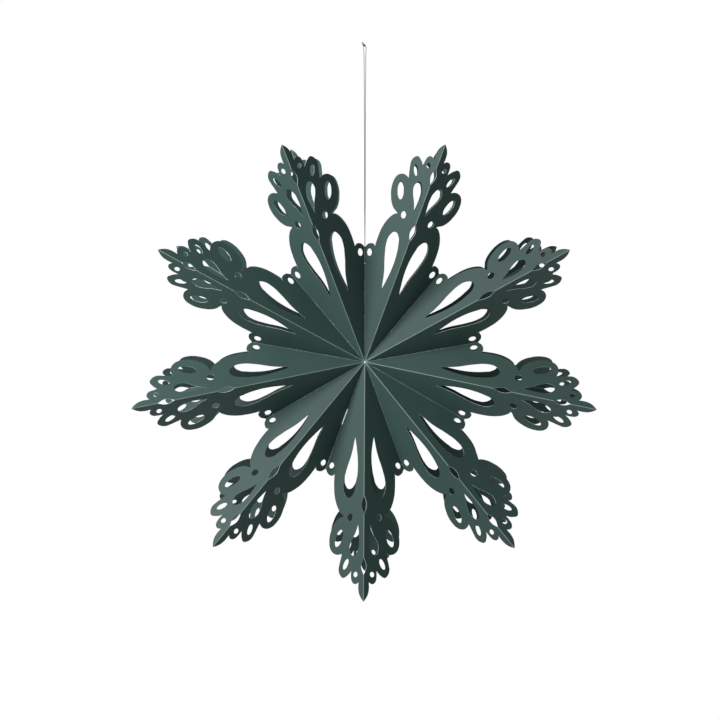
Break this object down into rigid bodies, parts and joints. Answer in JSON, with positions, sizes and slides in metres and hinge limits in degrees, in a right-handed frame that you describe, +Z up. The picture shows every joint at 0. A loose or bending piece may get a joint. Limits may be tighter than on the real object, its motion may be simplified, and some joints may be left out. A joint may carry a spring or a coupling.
{
  "type": "folded paper snowflake star",
  "caption": "Hanging star of folded, cut-out card arms glued along their valley folds, with a knotted thread loop to hang it by; it folds up like a fan.",
  "frame": {"origin": "the point that the thread hangs from, just under the knot, in line with the star's top valley", "axes": "+Z up along the thread and the top valley fold, -Y out of the star's front, +X to the right as seen from the front"},
  "size_m": [0.4628, 0.1492, 0.5606],
  "materials": {
    "green_card": "matte dyed-through dark green card, fine grain, creased and die-cut",
    "glue": "dried clear craft glue in a thin line",
    "closing_strip": "white paper strip with a tacky face",
    "thread": "twisted grey thread"
  },
  "bodies": {
    "hanger": {"hanging_thread": "thread", "top_knot": "thread", "glue_line_1_2": "glue", "thread_eye_glue": "glue"},
    "valley_1_2_plate_a": {"arm_1_front_right": "green_card", "arm_2_back_left": "green_card"},
    "valley_1_2_plate_b": {"arm_2_front_left": "green_card", "arm_1_back_right": "green_card"},
    "valley_2_3_plate_a": {"arm_2_front_right": "green_card", "arm_3_back_left": "green_card", "glue_line_2_3": "glue"},
    "valley_2_3_plate_b": {"arm_3_front_left": "green_card", "arm_2_back_right": "green_card"},
    "valley_3_4_plate_a": {"arm_3_front_right": "green_card", "arm_4_back_left": "green_card", "glue_line_3_4": "glue"},
    "valley_3_4_plate_b": {"arm_4_front_left": "green_card", "arm_3_back_right": "green_card"},
    "valley_4_5_plate_a": {"arm_4_front_right": "green_card", "arm_5_back_left": "green_card", "glue_line_4_5": "glue"},
    "valley_4_5_plate_b": {"arm_5_front_left": "green_card", "arm_4_back_right": "green_card"},
    "valley_5_6_plate_a": {"arm_5_front_right": "green_card", "arm_6_back_left": "green_card", "glue_line_5_6": "glue"},
    "valley_5_6_plate_b": {"arm_6_front_left": "green_card", "arm_5_back_right": "green_card"},
    "seam_arm_6_front": {"arm_6_front_right": "green_card", "closing_strip": "closing_strip"},
    "seam_arm_6_back": {"arm_6_back_right": "green_card"},
    "valley_9_1_plate_b": {"arm_1_front_left": "green_card", "arm_9_back_right": "green_card"},
    "valley_9_1_plate_a": {"arm_9_front_right": "green_card", "arm_1_back_left": "green_card", "glue_line_9_1": "glue"},
    "valley_8_9_plate_b": {"arm_9_front_left": "green_card", "arm_8_back_right": "green_card"},
    "valley_8_9_plate_a": {"arm_8_front_right": "green_card", "arm_9_back_left": "green_card", "glue_line_8_9": "glue"},
    "valley_7_8_plate_b": {"arm_8_front_left": "green_card", "arm_7_back_right": "green_card"},
    "valley_7_8_plate_a": {"arm_7_front_right": "green_card", "arm_8_back_left": "green_card", "glue_line_7_8": "glue"},
    "seam_arm_7_front": {"arm_7_front_left": "green_card"},
    "seam_arm_7_back": {"arm_7_back_left": "green_card"}
  },
  "joints": [
    {"name": "fold", "type": "hinge", "parent": "hanger", "child": "valley_1_2_plate_a", "pos_m": [0, 0, -0.321], "axis": [0, 0, 1], "range_deg": [0, 41.5]},
    {"name": "fold_top_b", "type": "hinge", "parent": "hanger", "child": "valley_1_2_plate_b", "pos_m": [0, 0, -0.321], "axis": [0, 0, 1], "range_deg": [-42, 0]},
    {"name": "ridge_2", "type": "hinge", "parent": "valley_1_2_plate_b", "child": "valley_2_3_plate_a", "pos_m": [0, 0, -0.321], "axis": [0.3253, -0.309, 0.8937], "range_deg": [0, 88]},
    {"name": "valley_2_3", "type": "hinge", "parent": "valley_2_3_plate_a", "child": "valley_2_3_plate_b", "pos_m": [0, 0, -0.321], "axis": [0.6428, 0, 0.766], "range_deg": [-84, 0]},
    {"name": "ridge_3", "type": "hinge", "parent": "valley_2_3_plate_b", "child": "valley_3_4_plate_a", "pos_m": [0, 0, -0.321], "axis": [0.8236, -0.309, 0.4755], "range_deg": [0, 88]},
    {"name": "valley_3_4", "type": "hinge", "parent": "valley_3_4_plate_a", "child": "valley_3_4_plate_b", "pos_m": [0, 0, -0.321], "axis": [0.9848, 0, 0.1736], "range_deg": [-84, 0]},
    {"name": "ridge_4", "type": "hinge", "parent": "valley_3_4_plate_b", "child": "valley_4_5_plate_a", "pos_m": [0, 0, -0.321], "axis": [0.9366, -0.309, -0.1651], "range_deg": [0, 88]},
    {"name": "valley_4_5", "type": "hinge", "parent": "valley_4_5_plate_a", "child": "valley_4_5_plate_b", "pos_m": [0, 0, -0.321], "axis": [0.866, 0, -0.5], "range_deg": [-84, 0]},
    {"name": "ridge_5", "type": "hinge", "parent": "valley_4_5_plate_b", "child": "valley_5_6_plate_a", "pos_m": [0, 0, -0.321], "axis": [0.6113, -0.309, -0.7286], "range_deg": [0, 88]},
    {"name": "valley_5_6", "type": "hinge", "parent": "valley_5_6_plate_a", "child": "valley_5_6_plate_b", "pos_m": [0, 0, -0.321], "axis": [0.342, 0, -0.9397], "range_deg": [-84, 0]},
    {"name": "ridge_6", "type": "hinge", "parent": "valley_5_6_plate_b", "child": "seam_arm_6_front", "pos_m": [0, 0, -0.321], "axis": [0, -0.309, -0.9511], "range_deg": [0, 88]},
    {"name": "seam_6", "type": "hinge", "parent": "seam_arm_6_front", "child": "seam_arm_6_back", "pos_m": [0, 0, -0.321], "axis": [-0.342, 0, -0.9397], "range_deg": [-84, 0]},
    {"name": "ridge_1", "type": "hinge", "parent": "valley_1_2_plate_a", "child": "valley_9_1_plate_b", "pos_m": [0, 0, -0.321], "axis": [-0.3253, -0.309, 0.8937], "range_deg": [-88, 0]},
    {"name": "valley_9_1", "type": "hinge", "parent": "valley_9_1_plate_b", "child": "valley_9_1_plate_a", "pos_m": [0, 0, -0.321], "axis": [-0.6428, 0, 0.766], "range_deg": [0, 84]},
    {"name": "ridge_9", "type": "hinge", "parent": "valley_9_1_plate_a", "child": "valley_8_9_plate_b", "pos_m": [0, 0, -0.321], "axis": [-0.8236, -0.309, 0.4755], "range_deg": [-88, 0]},
    {"name": "valley_8_9", "type": "hinge", "parent": "valley_8_9_plate_b", "child": "valley_8_9_plate_a", "pos_m": [0, 0, -0.321], "axis": [-0.9848, 0, 0.1736], "range_deg": [0, 84]},
    {"name": "ridge_8", "type": "hinge", "parent": "valley_8_9_plate_a", "child": "valley_7_8_plate_b", "pos_m": [0, 0, -0.321], "axis": [-0.9366, -0.309, -0.1651], "range_deg": [-88, 0]},
    {"name": "valley_7_8", "type": "hinge", "parent": "valley_7_8_plate_b", "child": "valley_7_8_plate_a", "pos_m": [0, 0, -0.321], "axis": [-0.866, 0, -0.5], "range_deg": [0, 84]},
    {"name": "ridge_7", "type": "hinge", "parent": "valley_7_8_plate_a", "child": "seam_arm_7_front", "pos_m": [0, 0, -0.321], "axis": [-0.6113, -0.309, -0.7286], "range_deg": [-88, 0]},
    {"name": "seam_7", "type": "hinge", "parent": "seam_arm_7_front", "child": "seam_arm_7_back", "pos_m": [0, 0, -0.321], "axis": [-0.342, 0, -0.9397], "range_deg": [0, 84]}
  ],
  "couplings": [
    {"joint": "fold_top_b", "follows": "fold", "ratio": -1},
    {"joint": "ridge_2", "follows": "fold", "ratio": 2.0862},
    {"joint": "valley_2_3", "follows": "fold", "ratio": -2},
    {"joint": "ridge_3", "follows": "fold", "ratio": 2.0862},
    {"joint": "valley_3_4", "follows": "fold", "ratio": -2},
    {"joint": "ridge_4", "follows": "fold", "ratio": 2.0862},
    {"joint": "valley_4_5", "follows": "fold", "ratio": -2},
    {"joint": "ridge_5", "follows": "fold", "ratio": 2.0862},
    {"joint": "valley_5_6", "follows": "fold", "ratio": -2},
    {"joint": "ridge_6", "follows": "fold", "ratio": 2.0862},
    {"joint": "seam_6", "follows": "fold", "ratio": -2},
    {"joint": "ridge_1", "follows": "fold", "ratio": -2.0862},
    {"joint": "valley_9_1", "follows": "fold", "ratio": 2},
    {"joint": "ridge_9", "follows": "fold", "ratio": -2.0862},
    {"joint": "valley_8_9", "follows": "fold", "ratio": 2},
    {"joint": "ridge_8", "follows": "fold", "ratio": -2.0862},
    {"joint": "valley_7_8", "follows": "fold", "ratio": 2},
    {"joint": "ridge_7", "follows": "fold", "ratio": -2.0862},
    {"joint": "seam_7", "follows": "fold", "ratio": 2}
  ]
}
